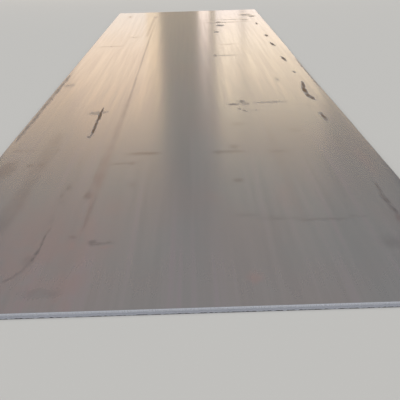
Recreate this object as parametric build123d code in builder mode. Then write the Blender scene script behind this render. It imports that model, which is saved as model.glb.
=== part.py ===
from build123d import *
import os
from math import radians, tan

# Hot-rolled steel plate, cut to length, lying on its broad face. It is one solid piece of stock.
# Millimetres. X runs across the plate, Y along the rolling direction and Z up through the thickness.
# The origin is the centre of the underside.

# Stock size, at the widest, longest and thickest points
length = 12000.0
width = 1500.0
thickness = 14.0

# Long edges, left as rolled: a shallow bulge between two rounded corners
edge_bulge = 2.0
edge_corner_radius = 1.5

# Sheared ends: the blade draws one corner in, burnishes the steel below it, and the rest breaks away
rollover_length = 2.0
rollover_depth = 1.4
rollover_radius = 2.6
burnish_depth = 4.5
fracture_angle = 3.0

half_flat_width = width / 2 - edge_bulge
burnish_end = rollover_depth + burnish_depth
fracture_set_back = (thickness - burnish_end) * tan(radians(fracture_angle))
past_other_end = length + thickness

# Each plane looks at one end from the side: x runs into the plate from the burnished face, and y runs
# through the thickness from the face that the blade entered. One blade goes down at the near end, where
# the plate stays on the bed. At the far end the plate itself is pushed down, so that end is turned over.
near_end = Plane(origin=(0, -length / 2, thickness), x_dir=(0, 1, 0), z_dir=(-1, 0, 0))
far_end = Plane(origin=(0, length / 2, 0), x_dir=(0, -1, 0), z_dir=(-1, 0, 0))

with BuildPart() as plate:
    # The rolled section, as the mill's edge rolls leave it
    with BuildSketch(Plane.XZ) as section:
        with BuildLine():
            underside = Line((-half_flat_width, 0), (half_flat_width, 0))
            right_edge = ThreePointArc(underside @ 1, (width / 2, thickness / 2), (half_flat_width, thickness))
            top = Line(right_edge @ 1, (-half_flat_width, thickness))
            ThreePointArc(top @ 1, (-width / 2, thickness / 2), underside @ 0)
        make_face()
        fillet(section.vertices(), edge_corner_radius)
    extrude(amount=length / 2, both=True)

    # The shear's profile trims each end in turn
    for end in (near_end, far_end):
        with BuildSketch(end):
            with BuildLine():
                rollover = RadiusArc((rollover_length, 0), (0, rollover_depth), rollover_radius)
                Polyline(
                    rollover @ 1,
                    (0, burnish_end),
                    (fracture_set_back, thickness),
                    (past_other_end, thickness),
                    (past_other_end, 0),
                    rollover @ 0,
                )
            make_face()
        extrude(amount=width, both=True, mode=Mode.INTERSECT)

plate.part.label = "plate"

os.makedirs("parts", exist_ok=True)
export_step(plate.part, "parts/plate.step")
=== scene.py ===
"""A hot-rolled steel plate lying on a plain floor, seen along its length from just above one end.

The plate is one piece of stock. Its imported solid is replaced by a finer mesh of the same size, which adds
the slight waves of a rolled plate, the wander of its rolled edges and the torn face that a shear leaves.
Everything is in metres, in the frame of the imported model: X across the plate, Y along the rolling
direction, Z up. Places on the plate are given by their distance from its near end.
"""

from __future__ import annotations

import logging
import math
from dataclasses import dataclass, field
from enum import Enum, IntEnum
from typing import Any

import bpy
import numpy as np
from mathutils import Matrix, Vector


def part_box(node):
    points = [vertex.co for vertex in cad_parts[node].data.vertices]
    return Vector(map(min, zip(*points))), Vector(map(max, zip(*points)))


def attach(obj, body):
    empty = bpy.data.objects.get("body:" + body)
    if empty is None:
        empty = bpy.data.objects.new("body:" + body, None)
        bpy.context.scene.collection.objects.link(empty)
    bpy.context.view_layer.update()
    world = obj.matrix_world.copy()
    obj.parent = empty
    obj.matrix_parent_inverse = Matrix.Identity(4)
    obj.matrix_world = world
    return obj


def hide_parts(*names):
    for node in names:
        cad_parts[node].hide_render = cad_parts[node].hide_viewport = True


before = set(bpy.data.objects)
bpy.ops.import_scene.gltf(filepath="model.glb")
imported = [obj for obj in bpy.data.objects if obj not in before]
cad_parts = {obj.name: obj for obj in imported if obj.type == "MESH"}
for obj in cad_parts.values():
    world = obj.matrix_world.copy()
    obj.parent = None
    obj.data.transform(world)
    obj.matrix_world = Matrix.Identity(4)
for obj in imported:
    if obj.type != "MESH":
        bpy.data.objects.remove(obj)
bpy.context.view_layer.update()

LOG = logging.getLogger("steel_plate")
MM = 0.001

# Dense iron oxide measures 2.3 to 2.9, and mill scale is a little porous
SCALE_IOR = 2.0

# Most of a noise pattern lies between these
MOST = (0.3, 0.7)

Node = bpy.types.Node
Point = tuple[float, float, float]
Range = tuple[float, float]


def linear(code: str) -> tuple[float, float, float, float]:
    """Turn an sRGB hex value into a linear colour.

    Args:
        code: Six hex digits, such as "6a625c".

    Returns:
        Linear red, green and blue, and an alpha of 1.
    """
    shown = (int(code[i : i + 2], 16) / 255 for i in (0, 2, 4))
    return (*(c / 12.92 if c <= 0.04045 else ((c + 0.055) / 1.055) ** 2.4 for c in shown), 1.0)


class Nodes:
    """A node tree under construction."""

    def __init__(self, tree: bpy.types.NodeTree) -> None:
        """Empty a new tree."""
        tree.nodes.clear()
        self.tree = tree

    def add(self, kind: str, inputs: dict[Any, Any] | None = None, **settings: Any) -> Node:
        """Add a node with its settings and its links.

        Args:
            kind: The node's type, without the leading "ShaderNode".
            inputs: Values, by the input's name or number. A socket is linked, and a node gives its first
                output that is in use.
            **settings: Attributes of the node.

        Returns:
            The new node.
        """
        node = self.tree.nodes.new("ShaderNode" + kind)
        for name, value in settings.items():
            setattr(node, name, value)
        for key, value in (inputs or {}).items():
            if isinstance(value, Node):
                value = next(output for output in value.outputs if output.enabled)
            if isinstance(value, bpy.types.NodeSocket):
                self.tree.links.new(value, node.inputs[key])
            else:
                node.inputs[key].default_value = value
        return node

    def number(self, operation: str, *values: Any) -> Node:
        """Add one step of arithmetic."""
        return self.add("Math", dict(enumerate(values)), operation=operation)

    def vector(self, operation: str, *values: Any) -> Node:
        """Add one step of vector arithmetic."""
        return self.add("VectorMath", dict(enumerate(values)), operation=operation)

    def mix(self, factor: Any, a: Any, b: Any) -> Node:
        """Mix two numbers."""
        return self.add("Mix", {0: factor, 2: a, 3: b}, data_type="FLOAT")

    def tint(self, factor: Any, a: Any, b: Any) -> Node:
        """Mix two colours."""
        return self.add("Mix", {0: factor, 6: a, 7: b}, data_type="RGBA")

    def ramp(self, value: Any, source: Range, target: tuple[Any, Any] = (0.0, 1.0)) -> Node:
        """Map a value smoothly from one range to another, and hold it outside."""
        spans = dict(enumerate((value, *source, *target)))
        return self.add("MapRange", spans, interpolation_type="SMOOTHSTEP")


@dataclass(frozen=True)
class Pattern:
    """Cloudy noise whose lumps have a real size.

    Attributes:
        lump: Size of a lump along X, Y and Z. Nothing changes along an axis given as 0.
        detail: Octaves of finer lumps.
        seed: Shifts the pattern, so that two of one size differ.
    """

    lump: Point
    detail: float = 2.0
    seed: float = 0.0


class Finish(Nodes):
    """One material, laid up in layers as the real surface is.

    Attributes:
        material: The material.
        place: The object's own coordinates.
        surface: The shader's inputs so far, and "Relief", the height of the fine relief as a share.
    """

    def __init__(self, name: str, surface: dict[str, Any]) -> None:
        """Start the material.

        Args:
            name: The material's name.
            surface: What lies lowest.
        """
        self.material = bpy.data.materials.new(name)
        self.material.use_nodes = True
        super().__init__(self.material.node_tree)
        self.place = self.add("TexCoord").outputs["Object"]
        self.surface = dict(surface)

    def draw(self, pattern: Pattern) -> Node:
        """Draw a pattern, which is about 0.5 on average.

        Args:
            pattern: The pattern.

        Returns:
            The noise.
        """
        scale = tuple(1 / size if size else 0.0 for size in pattern.lump)
        shift = tuple(pattern.seed * axis for axis in (1, 2, 3))
        place = self.vector("MULTIPLY_ADD", self.place, scale, shift)
        return self.add("TexNoise", {"Vector": place, "Scale": 1.0, "Detail": pattern.detail})

    def cover(self, mask: Node, layer: dict[str, Any]) -> None:
        """Lay another surface over what is there.

        Args:
            mask: Where it lies, from 0 to 1.
            layer: The shader's inputs on it. Those that it doesn't name stay.
        """
        for name, value in layer.items():
            mix = self.tint if name == "Base Color" else self.mix
            self.surface[name] = mix(mask, self.surface[name], value)

    def vary(self, drawn: Node, tone: Range, spread: float) -> None:
        """Make the base colour darker and lighter with a pattern.

        Args:
            drawn: The pattern, once drawn.
            tone: What the colour is multiplied by where it is darkest and lightest.
            spread: How far from 0.5 the pattern has to be there.
        """
        factor = self.ramp(drawn, (0.5 - spread, 0.5 + spread), tone)
        colour = self.surface["Base Color"]
        self.surface["Base Color"] = self.add("VectorMath", {0: colour, 3: factor}, operation="SCALE")

    def close(self, height: float) -> bpy.types.Material:
        """Add the surface shader.

        Args:
            height: What a relief of 1 measures.

        Returns:
            The finished material.
        """
        relief = self.surface.pop("Relief")
        bump = self.add("Bump", {"Strength": 1.0, "Distance": height, "Height": relief})
        shader = self.add("BsdfPrincipled", self.surface | {"Normal": bump})
        self.add("OutputMaterial", {"Surface": shader})
        return self.material


@dataclass(frozen=True)
class MarkLook:
    """How one kind of mark differs from clean scale.

    Attributes:
        colour: Its own colour.
        roughness: Its own roughness.
        core: The share of its size that is solid, before its edge fades.
        ior: Its own index of refraction.
        sunk: How deep it lies, as a share of the scale's thickness.
    """

    colour: str
    roughness: float
    core: float = 0.0
    ior: float = SCALE_IOR
    sunk: float = 0.0

    def layer(self) -> dict[str, Any]:
        """Give the shader's inputs on the mark."""
        colour = linear(self.colour)
        return {"Base Color": colour, "Roughness": self.roughness, "IOR": self.ior, "Relief": -self.sunk}


class MarkKind(Enum):
    """The kinds of mark that hot-rolled plate carries, from the faintest to the deepest."""

    BLOOM = MarkLook("80605c", 0.22)  # a haze of fine red rust
    # Smoother scale, whose paler colour is a painted highlight
    POLISH_AND_HIGHLIGHT = MarkLook("857d73", 0.19)  # scale polished paler
    STAIN = MarkLook("33232a", 0.23, 0.4)  # oil and dirt, wiped thin
    # Along the two long edges this look is painted shade, not scuffing
    SCUFF_AND_EDGE_SHADE = MarkLook("543f2c", 0.40)  # scale rubbed matt in handling, with dirt in it
    RUST = MarkLook("4e3235", 0.26, 0.1)  # rust that set in a scratch
    SCAR = MarkLook("6a5138", 0.95, 0.3, ior=1.5, sunk=1.0)  # scale torn off, down to dull porous oxide


@dataclass(frozen=True)
class Mark:
    """One mark on the top face.

    Attributes:
        across: Its middle, across the plate.
        along: Its middle, from the near end.
        half_width: Half its size across the plate.
        half_length: Half its size along the plate.
        strength: How strongly it shows, up to 1.
        lean: How far its far tip lies to the right of its middle.
        blunt: Whether it keeps its width almost to its ends. If not, it is an ellipse.
    """

    across: float
    along: float
    half_width: float
    half_length: float
    strength: float = 1.0
    lean: float = 0.0
    blunt: bool = False

    def away(self, finish: Finish, place: Node, near: float) -> Node:
        """Measure how far each place lies from the middle, where the mark's edge is 1.

        Args:
            finish: The material that takes the mark.
            place: Places on the plate.
            near: The Y of the plate's near end.

        Returns:
            The distance.
        """
        scale = (1 / self.half_width, 1 / self.half_length, 1)
        shift = (-self.across / self.half_width, -(near + self.along) / self.half_length, 0)
        inner = finish.vector("MULTIPLY_ADD", place, scale, shift)
        if self.lean:
            # A quarter turn brings the place along the mark into X, which then leans the mark
            turned = finish.vector("CROSS_PRODUCT", inner, (0, 0, 1))
            inner = finish.vector("MULTIPLY_ADD", turned, (-self.lean / self.half_width, 0, 0), inner)
        if not self.blunt:
            return finish.vector("LENGTH", inner)
        sides = finish.add("SeparateXYZ", {0: inner})
        to_side, to_end = (finish.number("ABSOLUTE", sides.outputs[axis]) for axis in "XY")
        # The eighth power leaves the ends out until just before them
        return finish.number("ADD", to_side, finish.number("POWER", to_end, 8.0))


def streak(
    across: float, half_width: float, start: float, end: float, strength: float, drift: float = 0.0
) -> Mark:
    """Give one long narrow streak along the rolling direction.

    Args:
        across: Where it starts, across the plate.
        half_width: Half its width.
        start: Where it begins, from the near end.
        end: Where it fades out.
        strength: How strongly it shows, up to 1.
        drift: How far it moves across the plate, by its end.

    Returns:
        The streak.
    """
    lean, half_length = drift / 2, (end - start) / 2
    return Mark(across + lean, start + half_length, half_width, half_length, strength, lean, blunt=True)


Marks = dict[MarkKind, tuple[Mark, ...]]

HAZES = (
    # A haze over the near left quarter
    Mark(-0.42, 0.55, 0.27, 1.0, 0.6),
    Mark(-0.3, 0.25, 0.08, 0.5, 0.6),
    Mark(-0.55, 1.25, 0.06, 0.35, 0.4),
    Mark(-0.24, 1.2, 0.06, 0.25, 0.3),
    streak(-0.29, 0.05, -0.2, 1.2, 0.5),
    # Redder along the long scratch
    streak(-0.31, 0.012, 0.25, 1.1, 0.6),
    streak(-0.312, 0.02, 1.1, 2.6, 0.4),
    Mark(-0.32, 0.68, 0.018, 0.13, 0.9),
    Mark(-0.225, 0.65, 0.03, 0.03, 0.9),
    # Right of the middle
    Mark(0.18, 0.27, 0.03, 0.08, 0.6),
    Mark(0.1, 1.35, 0.05, 0.14, 0.3),
    Mark(0.33, 1.35, 0.05, 0.3, 0.3),
    Mark(0.68, 1.95, 0.03, 0.4, 0.4),
)
# On the far half: bands of smoother scale, painted paler as a highlight along them
PALE_BANDS = (
    streak(-0.265, 0.035, 4.5, 10.8, 0.5, 0.02),
    streak(-0.51, 0.02, 3.8, 5.8, 0.4),
    streak(-0.6, 0.02, 4.8, 7.4, 0.4),
    streak(0.42, 0.06, 5.0, 9.5, 0.4),
)
STAINS = (
    # Darker along the left edge
    streak(-0.56, 0.035, 0.8, 3.0, 0.4),
    Mark(-0.68, 2.0, 0.04, 0.25, 0.68),
    # A faint line across the whole plate, over 2 m from the near end
    Mark(-0.667, 2.445, 0.06, 0.045, 0.5),
    Mark(-0.165, 2.285, 0.078, 0.05, 1.0, 0.004),
    Mark(0.175, 2.265, 0.085, 0.045, 0.9),
    Mark(0.37, 2.24, 0.06, 0.045, 0.6),
    Mark(-0.27, 2.06, 0.07, 0.035, 0.6),
    # Another right of the middle, about 1 m from the near end
    Mark(0.19, 1.035, 0.06, 0.03, 0.35),
    Mark(0.29, 0.97, 0.09, 0.028, 0.42),
    Mark(0.39, 0.94, 0.06, 0.026, 0.42),
    Mark(0.46, 0.94, 0.05, 0.026, 0.48),
    Mark(0.525, 0.968, 0.04, 0.022, 0.3),
    # Spots from the middle to the right
    Mark(0.237, 3.04, 0.035, 0.07, 0.7),
    Mark(0.478, 2.8, 0.035, 0.07, 0.7),
    Mark(0.13, 2.24, 0.007, 0.1, 0.8),
    Mark(0.197, 2.39, 0.02, 0.07, 0.8),
    Mark(0.186, 1.63, 0.024, 0.05, 0.9),
    Mark(0.58, 0.62, 0.04, 0.1, 0.35),
    # Spots left of the middle
    Mark(-0.188, 1.61, 0.022, 0.05, 0.5),
    Mark(-0.206, 2.05, 0.012, 0.05),
    Mark(-0.33, 1.42, 0.018, 0.06, 0.8),
    Mark(-0.408, 1.58, 0.012, 0.05, 0.9),
    Mark(-0.412, 2.08, 0.006, 0.09, 0.5, 0.003),
    Mark(-0.527, 2.44, 0.011, 0.08),
    Mark(-0.559, 2.08, 0.014, 0.07),
    Mark(-0.6, 2.07, 0.014, 0.05, 0.8),
    Mark(-0.36, 0.17, 0.06, 0.06, 0.3),
    # A dark line beside the long scratch
    streak(-0.332, 0.006, 1.3, 2.4, 0.45, 0.006),
    # A smear left of the middle
    Mark(-0.266, 0.715, 0.014, 0.04, 0.8),
    Mark(-0.248, 0.705, 0.008, 0.02, 0.8),
    Mark(-0.218, 0.715, 0.01, 0.03, 0.8),
    Mark(-0.24, 0.705, 0.045, 0.025, 0.4),
    # A dirty scratch near the right edge
    Mark(0.653, 1.41, 0.008, 0.11, 1.0, 0.003),
    Mark(0.647, 1.22, 0.012, 0.12),
    Mark(0.649, 1.07, 0.012, 0.08, 1.0, -0.003),
    # The curved scratch near the near left corner
    Mark(-0.41, 0.89, 0.005, 0.03, 0.7),
    Mark(-0.412, 0.8, 0.005, 0.035, 0.9),
    Mark(-0.411, 0.72, 0.005, 0.04, 1.0, 0.001),
    Mark(-0.412, 0.62, 0.008, 0.045, 1.0, 0.002),
    Mark(-0.416, 0.53, 0.008, 0.035, 0.9, 0.002),
    Mark(-0.412, 0.68, 0.005, 0.22, 0.5, 0.002),
    Mark(-0.424, 0.46, 0.007, 0.06, 0.45, 0.008),
    Mark(-0.438, 0.38, 0.008, 0.05, 0.45, 0.01),
    Mark(-0.456, 0.32, 0.009, 0.035, 0.5, 0.012),
    Mark(-0.424, 0.52, 0.022, 0.07, 0.3),
    # Small spots beyond it
    Mark(-0.412, 1.6, 0.01, 0.05, 0.7),
    Mark(-0.418, 1.44, 0.008, 0.04, 0.6),
    Mark(-0.408, 1.33, 0.008, 0.04, 0.6),
    Mark(-0.413, 1.04, 0.008, 0.05, 0.5),
)
SCUFFS_AND_EDGE_SHADE = (
    # Painted shade: dark strips along the left and the right edge, standing for the shadowed gap beside
    # them
    streak(-0.734, 0.014, 2.6, 5.6, 0.9),
    streak(0.738, 0.008, 4.3, 6.2, 0.78),
    # Matt lines along the long scratch, and one right of the middle
    streak(-0.303, 0.007, 3.0, 9.2, 0.35, -0.012),
    streak(-0.34, 0.016, 8.4, 11.2, 0.3),
    streak(0.335, 0.03, 3.6, 6.2, 0.06),
    # Lines across the right half, towards the far end
    Mark(0.39, 10.4, 0.3, 0.07, 0.39),
    Mark(0.42, 10.38, 0.18, 0.07, 0.6),
    Mark(0.39, 10.03, 0.3, 0.07, 0.45),
    Mark(0.33, 9.95, 0.16, 0.06, 0.6),
    Mark(0.33, 7.45, 0.09, 0.06, 0.26),
    Mark(0.28, 6.5, 0.1, 0.08, 0.35),
    Mark(0.2, 6.5, 0.016, 0.14, 0.7),
    # Lines across the left half
    Mark(-0.45, 8.45, 0.07, 0.08, 0.4),
    Mark(-0.6, 7.57, 0.14, 0.06, 0.33),
    Mark(-0.69, 4.85, 0.04, 0.14, 0.39),
    # A smudge right of the middle, and the lines that run off it
    Mark(0.24, 3.76, 0.04, 0.06),
    Mark(0.282, 3.86, 0.024, 0.08),
    Mark(0.3, 3.76, 0.03, 0.07, 0.8),
    Mark(0.42, 3.8, 0.12, 0.06, 0.52),
    Mark(0.39, 3.81, 0.02, 0.05, 0.39),
    Mark(0.465, 3.79, 0.02, 0.05, 0.39),
    Mark(0.262, 3.58, 0.01, 0.06, 0.91),
    Mark(0.285, 3.5, 0.014, 0.07, 0.78, -0.012),
    Mark(0.33, 3.5, 0.045, 0.035, 0.39),
    # A smudge beside the long scar
    Mark(-0.448, 3.57, 0.045, 0.08, 0.9),
    Mark(-0.405, 3.6, 0.025, 0.06, 0.5),
    # Single spots
    Mark(0.53, 4.86, 0.016, 0.14, 0.39),
    Mark(0.61, 3.62, 0.01, 0.07, 0.39),
    Mark(-0.33, 11.1, 0.03, 0.2, 0.5),
    Mark(-0.6, 11.3, 0.03, 0.3, 0.39),
)
RUST_MARKS = (
    # One long scratch runs nearly the whole length, redder where it is near
    streak(-0.297, 0.012, 0.9, 11.4, 0.4, -0.019),
    streak(-0.312, 0.018, 1.2, 4.4, 0.5, 0.006),
    streak(-0.306, 0.011, 0.9, 1.4, 0.8),
    Mark(-0.312, 1.74, 0.026, 0.32, 0.8),
    Mark(-0.318, 1.45, 0.028, 0.1, 0.9),
    Mark(-0.331, 0.79, 0.016, 0.03, 0.9),
    # Two fine scratches right of the middle
    streak(0.36, 0.016, 0.8, 3.4, 0.25),
    streak(0.13, 0.014, 2.3, 5.8, 0.2),
    # At the near end of the dirty scratch, and at the far end of the curved one
    Mark(0.648, 0.93, 0.014, 0.1, 0.8, 0.003),
    Mark(-0.409, 0.9, 0.006, 0.05, 0.6),
)
SCARS = (
    # A row near the right edge, about a metre apart
    Mark(0.644, 3.19, 0.011, 0.16, 0.9, -0.003),
    Mark(0.657, 4.52, 0.01, 0.19, 0.9, 0.008),
    Mark(0.644, 4.28, 0.013, 0.2, 1.0, 0.002),
    Mark(0.648, 3.98, 0.014, 0.17, 1.0, -0.012),
    Mark(0.661, 5.24, 0.009, 0.08, 0.5),
    Mark(0.659, 6.13, 0.011, 0.2, 0.9, -0.006),
    Mark(0.657, 7.33, 0.014, 0.2, 0.9, -0.008),
    Mark(0.659, 8.2, 0.015, 0.13, 0.7),
    Mark(0.652, 9.7, 0.01, 0.14, 0.7),
    # Shallow ones in the far right corner
    Mark(0.56, 10.3, 0.045, 0.15, 0.18),
    Mark(0.6, 11.08, 0.07, 0.2, 0.27),
    Mark(0.655, 10.8, 0.04, 0.15, 0.33),
    # And right of the middle, far off
    Mark(0.305, 9.58, 0.045, 0.14, 0.36),
    Mark(0.3, 10.05, 0.028, 0.14, 0.3),
    Mark(0.255, 8.78, 0.026, 0.12, 0.36),
    # The long scar left of the middle
    streak(-0.417, 0.007, 2.78, 3.8, 1.0, -0.005),
    Mark(-0.421, 3.4, 0.009, 0.2),
    Mark(-0.424, 2.78, 0.01, 0.03, 0.7),
)

# Marks by kind; the edge strips and the pale bands among them are painted shade and painted highlights
PLATE_MARKS_AND_PAINTED_LIGHT: Marks = {
    MarkKind.BLOOM: HAZES,
    MarkKind.POLISH_AND_HIGHLIGHT: PALE_BANDS,
    MarkKind.STAIN: STAINS,
    MarkKind.SCUFF_AND_EDGE_SHADE: SCUFFS_AND_EDGE_SHADE,
    MarkKind.RUST: RUST_MARKS,
    MarkKind.SCAR: SCARS,
}


@dataclass(frozen=True)
class MillScale:
    """Hot-rolled mill scale: a thin hard skin of grey-brown iron oxide that forms as the plate cools.

    The oxide is no metal. It is smooth and dense, and mirrors like a dark semi-gloss enamel, so it goes
    pale towards a low light. Rolling draws its tints and its polish out into long faint bands.

    Attributes:
        marks: What lies on this face.
        thickness: Of the scale.
        roughness: Of clean scale, in its smoothest and its roughest bands.
        grey: Scale that cooled fast.
        brown: Scale that cooled slowly.
        purple: Scale at its thinnest, where it shows an interference tint.
        cloud: The oxide's clouds, which set grey apart from brown.
        browned: The clouds' values over which grey turns to brown.
        band: The rolling bands. Real ones go down to 2 mm in width, which would not show.
        thinned: The bands' values over which purple comes in.
        band_tone: How dark and how light the bands are.
        mottle: The scale's own fine mottling.
        mottle_tone: How dark and how light it is.
        tooth: The ragged edge of a mark. Its teeth are drawn larger than real ones, to show.
        tooth_depth: How far a full step of that pattern moves a mark's edge.
        patch: Thin and full patches in a mark.
        patched: That pattern's values over which a mark turns from thin to full.
        patch_strength: How strong it is in them.
        fade: Where a mark's edge has faded out, as a share of its size.
    """

    marks: Marks
    thickness: float = 0.03 * MM
    roughness: Range = (0.202, 0.222)
    grey: str = "6b6a6a"
    brown: str = "6f6766"
    purple: str = "6f6569"
    cloud: Pattern = Pattern((350 * MM, 1400 * MM, 0), 3)
    browned: Range = (0.35, 0.65)
    band: Pattern = Pattern((25 * MM, 2000 * MM, 0), 4, seed=7.7)
    thinned: Range = (0.5, 0.75)
    band_tone: Range = (0.93, 1.07)
    mottle: Pattern = Pattern((4 * MM, 8 * MM, 0), 2, seed=5.3)
    mottle_tone: Range = (0.98, 1.02)
    tooth: Pattern = Pattern((14 * MM, 90 * MM, 0), 2, seed=3.1)
    tooth_depth: Point = (16 * MM, 80 * MM, 0)
    patch: Pattern = Pattern((40 * MM, 150 * MM, 0), 1, seed=9.4)
    patched: Range = (0.3, 0.6)
    patch_strength: Range = (0.5, 1.0)
    fade: float = 1.2

    def build(self, name: str, near: float) -> bpy.types.Material:
        """Make the material.

        Args:
            name: The material's name.
            near: The Y of the plate's near end.

        Returns:
            The material.
        """
        finish = Finish(name, {"Base Color": linear(self.grey), "IOR": SCALE_IOR, "Relief": 0.0})
        self.lay_scale(finish)
        if self.marks:
            self.lay_marks(finish, near)
        return finish.close(self.thickness)

    def lay_scale(self, finish: Finish) -> None:
        """Lay the clean scale, whose tints and polish drift in clouds and in long bands.

        Args:
            finish: The material that takes it.
        """
        clouds, bands = finish.draw(self.cloud), finish.draw(self.band)
        finish.cover(finish.ramp(clouds, self.browned), {"Base Color": linear(self.brown)})
        finish.cover(finish.ramp(bands, self.thinned), {"Base Color": linear(self.purple)})
        finish.vary(bands, self.band_tone, 0.25)
        finish.vary(finish.draw(self.mottle), self.mottle_tone, 0.3)
        finish.surface["Roughness"] = finish.ramp(bands, MOST, self.roughness)

    def lay_marks(self, finish: Finish, near: float) -> None:
        """Lay the marks over the scale, one kind over the other.

        Args:
            finish: The material that takes them.
            near: The Y of the plate's near end.
        """
        # The edges of the marks wander by some millimetres across and some centimetres along
        flat = finish.vector("MULTIPLY", finish.place, (1, 1, 0))
        teeth = finish.vector("SUBTRACT", finish.draw(self.tooth).outputs["Color"], (0.5, 0.5, 0.5))
        place = finish.vector("MULTIPLY_ADD", teeth, self.tooth_depth, flat)
        patches = finish.ramp(finish.draw(self.patch), self.patched, self.patch_strength)
        for kind, marks in self.marks.items():
            mask: Any = 0.0
            for mark in marks:
                away = mark.away(finish, place, near)
                drawn = finish.ramp(away, (self.fade, kind.value.core), (0.0, mark.strength))
                mask = finish.number("MAXIMUM", mask, drawn)
            finish.cover(finish.number("MULTIPLY", mask, patches), kind.value.layer())


@dataclass(frozen=True)
class EdgeScale:
    """The thicker, matt scale on a rolled edge, with rust in its folds.

    Attributes:
        scale: Dry oxide.
        rust: Rust in the folds.
        ior: Of oxide as open as this.
        fold: The folds, which run along the edge.
        fold_height: How far they stand up.
        fold_tone: How dark and how light they are.
        roughness: Of the oxide, in and out of the folds.
        patch: Where rust has set.
        rusted: The values of that pattern over which rust comes in.
        rust_strength: How fully rust covers the oxide.
        rust_roughness: Of rust.
    """

    scale: str = "4f4a46"
    rust: str = "6e4a38"
    ior: float = 1.9
    fold: Pattern = Pattern((0, 120 * MM, 2.5 * MM), 3, seed=2.2)
    fold_height: float = 0.4 * MM
    fold_tone: Range = (0.8, 1.15)
    roughness: Range = (0.42, 0.55)
    patch: Pattern = Pattern((0, 90 * MM, 9 * MM), 4, seed=6.1)
    rusted: Range = (0.45, 0.62)
    rust_strength: float = 0.8
    rust_roughness: float = 0.85

    def build(self, name: str) -> bpy.types.Material:
        """Make the material.

        Args:
            name: The material's name.

        Returns:
            The material.
        """
        finish = Finish(name, {"Base Color": linear(self.scale), "IOR": self.ior})
        folds = finish.draw(self.fold)
        finish.surface |= {"Roughness": finish.ramp(folds, MOST, self.roughness), "Relief": folds}
        rusty = finish.ramp(finish.draw(self.patch), self.rusted, (0.0, self.rust_strength))
        finish.cover(rusty, {"Base Color": linear(self.rust), "Roughness": self.rust_roughness})
        finish.vary(folds, self.fold_tone, 0.2)
        return finish.close(self.fold_height)


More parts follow.
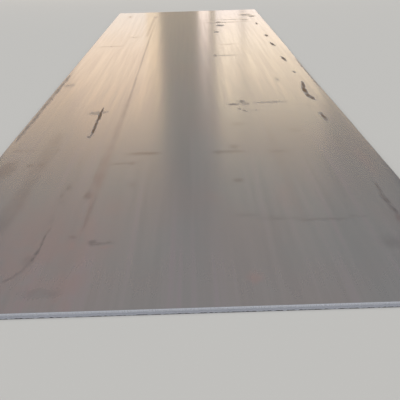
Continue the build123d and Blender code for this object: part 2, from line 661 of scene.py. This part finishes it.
@dataclass(frozen=True)
class ShearedSteel:
    """Bare mild steel at a sheared end: a bright band that the blade rubbed, then a torn grey face.

    Steel is a metal, so its base colour is the colour of what it reflects. Its blue tint, and part of its
    lightness, are a painted reflection of bluish light before the end. The corner under the torn face is
    darkened, partly by grime and rust and partly as painted shade where the plate meets what lies under
    it, and mill scale runs on over the corner that the blade drew in.

    Attributes:
        rubbed: The burnished band.
        torn: The torn face.
        dirt_and_shade: The lower corner: grime, with painted shade where the plate meets what lies under
            it.
        scale: The mill scale on the drawn corner.
        rubbed_roughness: Of the burnished band, where it is smoothest and roughest.
        torn_roughness: Of the torn face.
        dirt_and_shade_roughness: Of the dark lower corner.
        lip: Height of the dark lower corner, grime with painted shade.
        dirt_and_shade_strength: How fully the grime and the painted shade cover it.
        scale_strength: How fully scale covers the drawn corner.
        second: Depth of a narrow band of the torn face that the blade rubbed again.
        second_height: Half its height, where it is full and where it ends.
        second_left: How much of the torn look is left in it.
        border: The uneven borders of the bands.
        border_reach: How far they wander up and down.
        border_blur: Half the height over which one band turns into the next.
        scratch: The scratches in the burnished band, which run down the face.
        scratch_relief: Their height, as a share of the grit's.
        grit: The grain of the torn face.
        grit_height: How far it stands up.
        grit_tone: How dark and how light it is.
    """

    # The blue in these two, and part of their lightness, is a painted reflection of bluish light before the
    # end
    rubbed: str = "ced1db"
    torn: str = "bfc3cf"
    dirt_and_shade: str = "302d2e"
    scale: str = "6b6a69"
    rubbed_roughness: Range = (0.26, 0.36)
    torn_roughness: float = 0.5
    dirt_and_shade_roughness: float = 0.8
    lip: float = 1.6 * MM
    dirt_and_shade_strength: float = 0.9
    scale_strength: float = 0.8
    second: float = 11.0 * MM
    second_height: Range = (0.6 * MM, 1.2 * MM)
    second_left: float = 0.3
    border: Pattern = Pattern((9 * MM, 0, 0), 4, seed=4.4)
    border_reach: float = 1.2 * MM
    border_blur: float = 0.4 * MM
    scratch: Pattern = Pattern((0.8 * MM, 0, 8 * MM), 2, seed=8.8)
    scratch_relief: float = 0.1
    grit: Pattern = Pattern((1.5 * MM, 0, 1.2 * MM), 3, seed=1.3)
    grit_height: float = 0.3 * MM
    grit_tone: Range = (0.88, 1.1)

    def build(self, name: str, shear: ShearedEnd, thickness: float) -> bpy.types.Material:
        """Make the material.

        Args:
            name: The material's name.
            shear: The form of the end.
            thickness: The plate's thickness.

        Returns:
            The material.
        """
        finish = Finish(name, {"Base Color": linear(self.rubbed), "Metallic": 1.0})
        scratches, grit = finish.draw(self.scratch), finish.draw(self.grit)
        finish.surface["Roughness"] = finish.ramp(scratches, MOST, self.rubbed_roughness)
        finish.surface["Relief"] = finish.number("MULTIPLY", scratches, self.scratch_relief)

        # The near end was cut from the top and the far end from below, so depth is measured from there
        place = finish.add("SeparateXYZ", {0: finish.place})
        far = finish.number("GREATER_THAN", place.outputs["Y"], 0.0)
        from_top = finish.number("SUBTRACT", thickness, place.outputs["Z"])
        level = finish.mix(far, from_top, place.outputs["Z"])
        jog = finish.ramp(finish.draw(self.border), (0.25, 0.75), (-self.border_reach, self.border_reach))
        depth = finish.number("ADD", level, jog)

        start = shear.burnish_end
        torn = finish.ramp(depth, (start - self.border_blur, start + self.border_blur))
        off = finish.number("ABSOLUTE", finish.number("SUBTRACT", depth, self.second))
        left = finish.ramp(off, self.second_height, (self.second_left, 1.0))
        torn = finish.number("MULTIPLY", torn, left)
        layer = {"Base Color": linear(self.torn), "Roughness": self.torn_roughness, "Relief": grit}
        finish.cover(torn, layer)
        finish.vary(grit, self.grit_tone, 0.25)

        # The lower corner darkens: grime, and painted shade where the plate meets what lies under it
        corner = (thickness - self.lip, thickness - 0.3 * self.lip)
        layer = {"Base Color": linear(self.dirt_and_shade), "Roughness": self.dirt_and_shade_roughness, "Metallic": 0.0}
        finish.cover(finish.ramp(depth, corner, (0.0, self.dirt_and_shade_strength)), layer)

        corner = (1.1 * shear.rollover_depth, 0.5 * shear.rollover_depth)
        layer = {"Base Color": linear(self.scale), "Metallic": 0.0}
        finish.cover(finish.ramp(level, corner, (0.0, self.scale_strength)), layer)
        return finish.close(self.grit_height)


class Face(IntEnum):
    """The plate's kinds of surface, in the order of its materials."""

    TOP = 0
    UNDERSIDE = 1
    ROLLED = 2
    SHEARED = 3


@dataclass(frozen=True)
class RolledEdge:
    """The form of a long edge as the mill left it: a bulge between two rounded corners.

    Attributes:
        bulge: How far the middle stands out past the ends of the bulge.
        corner_radius: Radius between a flat face and the bulge.
        corner_steps: Facets round each corner.
        bulge_steps: Facets over the bulge.
    """

    bulge: float = 2.0 * MM
    corner_radius: float = 1.5 * MM
    corner_steps: int = 4
    bulge_steps: int = 8

    def outline(self, thickness: float) -> list[tuple[float, float]]:
        """Give the edge's outline, from the top face to the underside.

        Args:
            thickness: The plate's thickness.

        Returns:
            Pairs of the distance inside the plate's widest line and the height.
        """
        half = thickness / 2
        radius = (half**2 + self.bulge**2) / (2 * self.bulge)
        rise = half - self.corner_radius
        reach = math.sqrt((radius - self.corner_radius) ** 2 - rise**2)
        turn = math.atan2(rise, reach)
        upper = np.linspace(math.pi / 2, turn, self.corner_steps + 1)
        middle = np.linspace(turn, -turn, self.bulge_steps + 1)[1:-1]
        lower = np.linspace(-turn, -math.pi / 2, self.corner_steps + 1)
        points = [self.corner(radius - reach, half + rise, angle) for angle in upper]
        points += [(radius - radius * math.cos(angle), half + radius * math.sin(angle)) for angle in middle]
        points += [self.corner(radius - reach, half - rise, angle) for angle in lower]
        return points

    def corner(self, inside: float, height: float, angle: float) -> tuple[float, float]:
        """Give a point on a rounded corner from its centre and an angle."""
        return inside - self.corner_radius * math.cos(angle), height + self.corner_radius * math.sin(angle)


@dataclass(frozen=True)
class ShearedEnd:
    """The form of a sheared end, measured from the face that the blade entered.

    Attributes:
        rollover_length: How far back the blade drew the corner down.
        rollover_depth: How deep the drawn corner reaches.
        rollover_radius: Radius of the drawn corner.
        burnish_depth: Depth of the band that the blade rubbed smooth.
        fracture_angle: Lean of the torn face, in degrees.
        border_reach: How far the torn face's border wanders up and down, in all.
        tear: Depth of the tears.
        tear_reach: How far below that border they reach their depth.
    """

    rollover_length: float = 2.0 * MM
    rollover_depth: float = 1.4 * MM
    rollover_radius: float = 2.6 * MM
    burnish_depth: float = 4.5 * MM
    fracture_angle: float = 3.0
    border_reach: float = 2.25 * MM
    tear: float = 0.35 * MM
    tear_reach: float = 1.0 * MM

    @property
    def burnish_end(self) -> float:
        """Depth at which the torn face begins."""
        return self.rollover_depth + self.burnish_depth

    def set_back(self, depth: np.ndarray, ragged: np.ndarray) -> np.ndarray:
        """Give how far the end's face lies inside the plate's longest line.

        Args:
            depth: Depth below the face that the blade entered.
            ragged: Unevenness of the tear at each place, from 0 to 1.

        Returns:
            The distance at each place.
        """
        half_chord = math.hypot(self.rollover_length, self.rollover_depth) / 2
        offset = math.sqrt(self.rollover_radius**2 - half_chord**2) / (2 * half_chord)
        centre_back = self.rollover_length / 2 + self.rollover_depth * offset
        centre_deep = self.rollover_depth / 2 + self.rollover_length * offset
        above = np.maximum(centre_deep - depth, 0)
        drawn = centre_back - np.sqrt(self.rollover_radius**2 - above**2)
        drawn = np.where(depth < self.rollover_depth, drawn, 0)
        torn = np.clip(depth - self.burnish_end + self.border_reach * (ragged - 0.5), 0, None)
        lean = torn * math.tan(math.radians(self.fracture_angle))
        return drawn + lean + self.tear * ragged * np.clip(torn / self.tear_reach, 0, 1)


@dataclass
class SteelPlate:
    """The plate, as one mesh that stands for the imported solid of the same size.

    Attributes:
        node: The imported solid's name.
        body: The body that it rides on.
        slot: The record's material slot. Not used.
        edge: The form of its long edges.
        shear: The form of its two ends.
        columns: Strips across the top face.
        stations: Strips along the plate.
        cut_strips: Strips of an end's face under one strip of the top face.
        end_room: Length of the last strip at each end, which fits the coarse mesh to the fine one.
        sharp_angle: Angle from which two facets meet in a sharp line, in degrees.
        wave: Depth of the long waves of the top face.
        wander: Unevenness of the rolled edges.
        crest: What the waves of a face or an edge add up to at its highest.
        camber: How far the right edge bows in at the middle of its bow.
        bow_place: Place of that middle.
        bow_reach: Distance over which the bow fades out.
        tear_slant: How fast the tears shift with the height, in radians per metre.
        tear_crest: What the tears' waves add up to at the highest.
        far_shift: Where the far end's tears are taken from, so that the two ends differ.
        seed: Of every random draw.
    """

    node: str = "plate"
    body: str = "root"
    slot: str = "mill_scale_steel"
    edge: RolledEdge = field(default_factory=RolledEdge)
    shear: ShearedEnd = field(default_factory=ShearedEnd)
    columns: int = 40
    stations: int = 600
    cut_strips: int = 12
    end_room: float = 30 * MM
    sharp_angle: float = 40.0
    wave: float = 0.3 * MM
    wander: float = 1.2 * MM
    crest: float = 4.0
    camber: float = 5 * MM
    bow_place: float = 5.3
    bow_reach: float = 1.4
    tear_slant: float = 150.0
    tear_crest: float = 9.0
    far_shift: float = 7.0
    seed: int = 14

    def __post_init__(self) -> None:
        """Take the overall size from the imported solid, shape the section and draw the waves."""
        low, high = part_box(self.node)
        self.length, self.width, self.thickness = (high[i] - low[i] for i in (1, 0, 2))
        self.near = low[1]
        self.shape_section()
        # Each row holds a wave's radians per metre, along one or two axes, and its phase
        random = np.random.default_rng(self.seed)
        self.swells = random.uniform((-3, -2.5, 0), (3, 2.5, 2 * math.pi), (12, 3))
        self.ripples = random.uniform((1.5, 0), (12, 2 * math.pi), (10, 2))
        self.tears = random.uniform((60, 0), (900, 2 * math.pi), (40, 2))

    def sag(self, x: np.ndarray, y: np.ndarray) -> np.ndarray:
        """Give how far the top face lies below its highest level."""
        waves = sum(np.cos(across * x + along * y + phase) for across, along, phase in self.swells)
        return self.wave * (0.5 - 0.5 * np.clip(waves / self.crest, -1, 1))

    def inset(self, side: np.ndarray, y: np.ndarray) -> np.ndarray:
        """Give how far a long edge lies inside the plate's widest line.

        Args:
            side: Below 0 for the left edge and above 0 for the right one.
            y: Place along the plate.

        Returns:
            The distance at each place.
        """
        waves = sum(np.cos(along * y + phase + 2 * np.sign(side)) for along, phase in self.ripples)
        off = (y - self.near - self.bow_place) / self.bow_reach
        bow = self.camber * np.exp(-(off**2)) * (side > 0)
        return self.wander * (0.5 - 0.5 * np.clip(waves / self.crest, -1, 1)) + bow

    def ragged(self, x: np.ndarray, z: np.ndarray) -> np.ndarray:
        """Give the unevenness of a torn face at each place, from 0 to 1."""
        waves = sum(np.cos(k * x + phase + self.tear_slant * z * np.sin(phase)) for k, phase in self.tears)
        return 0.5 + 0.5 * np.clip(waves / self.tear_crest, -1, 1)

    def settle(self, x: np.ndarray, y: np.ndarray, z: np.ndarray) -> np.ndarray:
        """Move points of the plain form to where the real plate's waves put them.

        Args:
            x: Place across the plate.
            y: Place along it.
            z: Height.

        Returns:
            One row of three coordinates for each point.
        """
        narrowed = x * (1 - self.inset(x, y) / (self.width / 2))
        lowered = z * (1 - self.sag(x, y) / self.thickness)
        return np.stack([narrowed, y, lowered], axis=1)

    def shape_section(self) -> None:
        """Make the cross-section, clockwise from the left end of the top face, as X and Z."""
        half = self.width / 2
        side = self.edge.outline(self.thickness)
        flat = half - side[0][0]
        top = [(x, self.thickness) for x in np.linspace(-flat, flat, self.columns + 1)]
        under = [(x, 0.0) for x in np.linspace(flat, -flat, self.columns + 1)]
        right = [(half - inside, z) for inside, z in side[1:-1]]
        left = [(-x, z) for x, z in reversed(right)]
        self.section = np.array(top + right + under + left)
        self.sides = len(right)

    def body_rings(self) -> np.ndarray:
        """Place the sections between the two ends.

        Returns:
            Every point, section by section.
        """
        start, end = self.near + self.end_room, self.near + self.length - self.end_room
        places = np.linspace(start, end, self.stations + 1)
        x, z = (np.tile(self.section[:, axis], len(places)) for axis in (0, 1))
        return self.settle(x, np.repeat(places, len(self.section)), z)

    def end_grid(self, far: bool) -> np.ndarray:
        """Place the fine grid of one end's face, row by row from the top.

        Args:
            far: For the far end, which was cut from below.

        Returns:
            The points, as rows of points.
        """
        side = self.section[self.columns : self.columns + self.sides + 2]
        across = np.linspace(-1, 1, self.columns * self.cut_strips + 1)
        x, z = np.outer(side[:, 0], across).ravel(), np.repeat(side[:, 1], len(across))
        depth = z if far else self.thickness - z
        back = self.shear.set_back(depth, self.ragged(x + self.far_shift * far, z))
        y = self.near + self.length - back if far else self.near + back
        return self.settle(x, y, z).reshape(len(side), len(across), 3)

    def rim(self, index: np.ndarray) -> list[tuple[int, ...]]:
        """Group an end grid's border points by the section's strip that they close.

        Args:
            index: The grid's point numbers.

        Returns:
            For each strip of the section, the border points from its start to its end.
        """
        spans = [slice(i, i + self.cut_strips + 1) for i in range(0, index.shape[1] - 1, self.cut_strips)]
        top, under = ([tuple(row[span]) for span in spans] for row in (index[0], index[-1, ::-1]))
        right = list(zip(index[:-1, -1], index[1:, -1]))
        left = list(zip(index[:0:-1, 0], index[-2::-1, 0]))
        return top + right + under + left

    def build_mesh(self) -> bpy.types.Mesh:
        """Make the mesh, whose faces all look outward, with a material index for each.

        Returns:
            The mesh.
        """
        count = len(self.section)
        body = self.body_rings()
        grids = [self.end_grid(far) for far in (False, True)]
        points = np.concatenate([body, *(grid.reshape(-1, 3) for grid in grids)])
        rolled = [Face.ROLLED] * (self.sides + 1)
        strips = [Face.TOP] * self.columns + rolled + [Face.UNDERSIDE] * self.columns + rolled
        faces: list[tuple[int, ...]] = []
        for j in range(self.stations):
            here, there = j * count, (j + 1) * count
            for i in range(count):
                after = (i + 1) % count
                faces.append((here + i, here + after, there + after, there + i))
        kinds = strips * self.stations
        start = len(body)
        for far, grid in enumerate(grids):
            rows, across = grid.shape[:2]
            index = start + np.arange(rows * across).reshape(rows, across)
            ring = self.stations * count * far
            for i, border in enumerate(self.rim(index)):
                face = (ring + i, ring + (i + 1) % count, *reversed(border))
                faces.append(face if far else face[::-1])
            for r in range(rows - 1):
                for c in range(across - 1):
                    face = (index[r, c], index[r, c + 1], index[r + 1, c + 1], index[r + 1, c])
                    faces.append(face if far else face[::-1])
            kinds += strips + [Face.SHEARED] * ((rows - 1) * (across - 1))
            start += rows * across
        mesh = bpy.data.meshes.new("steel_plate")
        mesh.from_pydata(points.tolist(), [], [tuple(int(i) for i in face) for face in faces])
        mesh.polygons.foreach_set("material_index", [int(kind) for kind in kinds])
        return mesh

    def crease(self, mesh: bpy.types.Mesh) -> None:
        """Shade the mesh softly, with crisp lines round the ends' faces and wherever it turns sharply.

        Args:
            mesh: The plate's mesh.
        """
        mesh.shade_smooth()
        mesh.set_sharp_from_angle(angle=math.radians(self.sharp_angle))
        cut, rolled = set(), set()
        for face in mesh.polygons:
            (cut if face.material_index == Face.SHEARED else rolled).update(face.vertices)
        rim = cut & rolled
        for edge in mesh.edges:
            if rim.issuperset(edge.vertices):
                edge.use_edge_sharp = True

    def build(self) -> bpy.types.Object:
        """Make the plate and dress it.

        Returns:
            The plate's object.
        """
        mesh = self.build_mesh()
        for material in (
            MillScale(PLATE_MARKS_AND_PAINTED_LIGHT).build("mill_scale_top", self.near),
            MillScale({}).build("mill_scale_underside", self.near),
            EdgeScale().build("rolled_edge_scale"),
            ShearedSteel().build("sheared_steel", self.shear, self.thickness),
        ):
            mesh.materials.append(material)
        mesh.validate()
        self.crease(mesh)
        piece = bpy.data.objects.new("steel_plate", mesh)
        bpy.context.scene.collection.objects.link(piece)
        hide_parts(self.node)
        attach(piece, self.body)
        LOG.info("steel_plate: %d faces, %.3f by %.3f by %.4f m", len(mesh.polygons), *piece.dimensions)
        return piece


@dataclass(frozen=True)
class SoftPanel:
    """An upright soft light whose colour turns from its foot to its head, where it fades out.

    Attributes:
        name: Its name.
        left: Its left side, across the plate.
        right: Its right side.
        height: Its height.
        radiance: How bright its face looks.
        solid: The share of its height that does not fade.
        foot: Its colour at the foot.
        head: Its colour at the head.
    """

    name: str
    left: float
    right: float
    height: float
    radiance: float
    solid: float = 0.9
    foot: str = "b4b4c8"
    head: str = "ffde9f"

    def build(self, distance: float) -> None:
        """Stand the panel up, facing the plate.

        Args:
            distance: Its Y.
        """
        lamp = bpy.data.lights.new(self.name, "AREA")
        lamp.shape = "RECTANGLE"
        lamp.size, lamp.size_y = self.right - self.left, self.height
        # A matt face gives off pi times its radiance on each unit of its area
        lamp.energy = math.pi * self.radiance * lamp.size * lamp.size_y
        lamp.use_nodes = True
        nodes = Nodes(lamp.node_tree)
        # The second coordinate runs down from the head
        down = nodes.add("SeparateXYZ", {0: nodes.add("NewGeometry").outputs["Parametric"]}).outputs["Y"]
        fade = nodes.ramp(down, (0.0, 1 - self.solid))
        colour = nodes.tint(down, linear(self.head), linear(self.foot))
        nodes.add("OutputLight", {"Surface": nodes.add("Emission", {"Color": colour, "Strength": fade})})
        panel = bpy.data.objects.new(self.name, lamp)
        panel.location = ((self.left + self.right) / 2, distance, self.height / 2)
        panel.rotation_euler = (math.radians(-90), 0, 0)
        panel.visible_camera = False
        bpy.context.scene.collection.objects.link(panel)


@dataclass
class Studio:
    """A plain pale floor under a soft sky with one open side, and panels beyond the plate's far end.

    The plate mirrors the panels at a low angle, and the gap between them shows in it as a dark band.

    Attributes:
        floor_colour: Pale grey, dry and matt.
        floor_roughness: Of the floor.
        floor_reach: Half the floor's size.
        floor_gap: How far the floor lies under the plate.
        sky_colour: Neutral.
        horizon: The sky's level at the horizon.
        zenith: The sky's level overhead.
        overhead: The upward part of a direction from which the sky is at that level.
        open_side: How much brighter the sky is at the horizon before the near end.
        open_reach: The direction's part along Y where the open side is full, and where it ends.
        panels: The upright lights. The last is a low glow, in the gap and over the middle.
        panel_distance: Their Y.
    """

    floor_colour: str = "c8c7c3"
    floor_roughness: float = 0.95
    floor_reach: float = 400.0
    floor_gap: float = 0.2 * MM
    sky_colour: str = "fefeff"
    horizon: float = 0.10
    zenith: float = 1.11
    overhead: float = 0.9
    open_side: float = 0.45
    open_reach: Range = (-0.7, 0.1)
    panels: tuple[SoftPanel, ...] = (
        SoftPanel("left_side", -3.6, -2.0, 2.5, 1.95, foot="a4b6c0", head="ffc985"),
        SoftPanel("left_panel", -2.0, -0.72, 2.42, 2.4, foot="aebec8", head="ffc985"),
        SoftPanel("amber_panel", -0.72, -0.50, 2.4, 2.4, foot="aaa496", head="f6cc98"),
        SoftPanel("middle_panel", 0.17, 0.35, 2.38, 2.7, 0.1, "fff0e6", "e0b48c"),
        SoftPanel("right_panel", 0.45, 0.87, 2.24, 2.7),
        SoftPanel("dim_panel", 0.87, 0.96, 2.3, 1.6, foot="acacc0"),
        SoftPanel("far_right_panel", 0.96, 2.3, 2.14, 2.7),
        SoftPanel("right_side", 2.3, 3.6, 1.82, 2.0, foot="acacc0"),
        SoftPanel("low_glow", -0.50, 0.45, 3.6, 0.5, 0.0, "ffe2b4", "ffe2b4"),
    )
    panel_distance: float = 14.0

    def build(self) -> None:
        """Make the floor, the sky and the panels."""
        self.lay_floor()
        self.light_sky()
        for panel in self.panels:
            panel.build(self.panel_distance)
        LOG.info("studio: floor, sky and %d panels", len(self.panels))

    def lay_floor(self) -> None:
        """Lay the floor just under the plate."""
        mesh = bpy.data.meshes.new("floor")
        reach = self.floor_reach
        corners = [(-reach, -reach, 0), (reach, -reach, 0), (reach, reach, 0), (-reach, reach, 0)]
        mesh.from_pydata(corners, [], [(0, 1, 2, 3)])
        floor_paint = bpy.data.materials.new("matt_floor")
        floor_paint.use_nodes = True
        shader = floor_paint.node_tree.nodes["Principled BSDF"]
        shader.inputs["Base Color"].default_value = linear(self.floor_colour)
        shader.inputs["Roughness"].default_value = self.floor_roughness
        mesh.materials.append(floor_paint)
        floor = bpy.data.objects.new("floor", mesh)
        floor.location.z = -self.floor_gap
        bpy.context.scene.collection.objects.link(floor)

    def light_sky(self) -> None:
        """Make a soft sky, bright overhead and dim at the horizon, except before the plate's near end."""
        world = bpy.data.worlds.new("sky")
        bpy.context.scene.world = world
        world.use_nodes = True
        nodes = Nodes(world.node_tree)
        look = nodes.add("SeparateXYZ", {0: nodes.add("TexCoord").outputs["Generated"]})
        levels = (self.horizon + self.open_side, self.horizon)
        horizon = nodes.ramp(look.outputs["Y"], self.open_reach, levels)
        level = nodes.ramp(look.outputs["Z"], (0.0, self.overhead), (horizon, self.zenith))
        light = nodes.add("Background", {"Color": linear(self.sky_colour), "Strength": level})
        nodes.add("OutputWorld", {"Surface": light})


@dataclass(frozen=True)
class Viewpoint:
    """The camera: low over the near end, looking along the plate through a long lens.

    Attributes:
        place: Where it stands.
        pitch: How far it looks down, in degrees.
        yaw: How far it looks to the right.
        roll: How far it leans.
        lens: Focal length in millimetres, on a 36 mm sensor.
        reach: How far it sees.
    """

    place: Point = (0.037, -9.065, 0.882)
    pitch: float = 11.26
    yaw: float = 0.15
    roll: float = 1.76
    lens: float = 121.6
    reach: float = 1000.0

    def build(self) -> None:
        """Place the camera."""
        pitch, yaw, roll = (math.radians(angle) for angle in (self.pitch, self.yaw, self.roll))
        ahead = Vector((math.sin(yaw) * math.cos(pitch), math.cos(yaw) * math.cos(pitch), -math.sin(pitch)))
        level = Vector((math.cos(yaw), -math.sin(yaw), 0))
        upright = level.cross(ahead)
        right = math.cos(roll) * level - math.sin(roll) * upright
        up = math.sin(roll) * level + math.cos(roll) * upright
        data = bpy.data.cameras.new("camera")
        data.lens, data.clip_end = self.lens, self.reach
        camera = bpy.data.objects.new("camera", data)
        turn = Matrix((right, up, -ahead)).transposed().to_4x4()
        camera.matrix_world = Matrix.Translation(self.place) @ turn
        bpy.context.scene.collection.objects.link(camera)
        bpy.context.scene.camera = camera


def main() -> None:
    """Build the camera, the studio and the plate."""
    logging.basicConfig(level=logging.INFO, format="%(message)s")
    bpy.context.scene.view_settings.view_transform = "Standard"
    Viewpoint().build()
    Studio().build()
    SteelPlate().build()


if __name__ == "__main__":
    main()
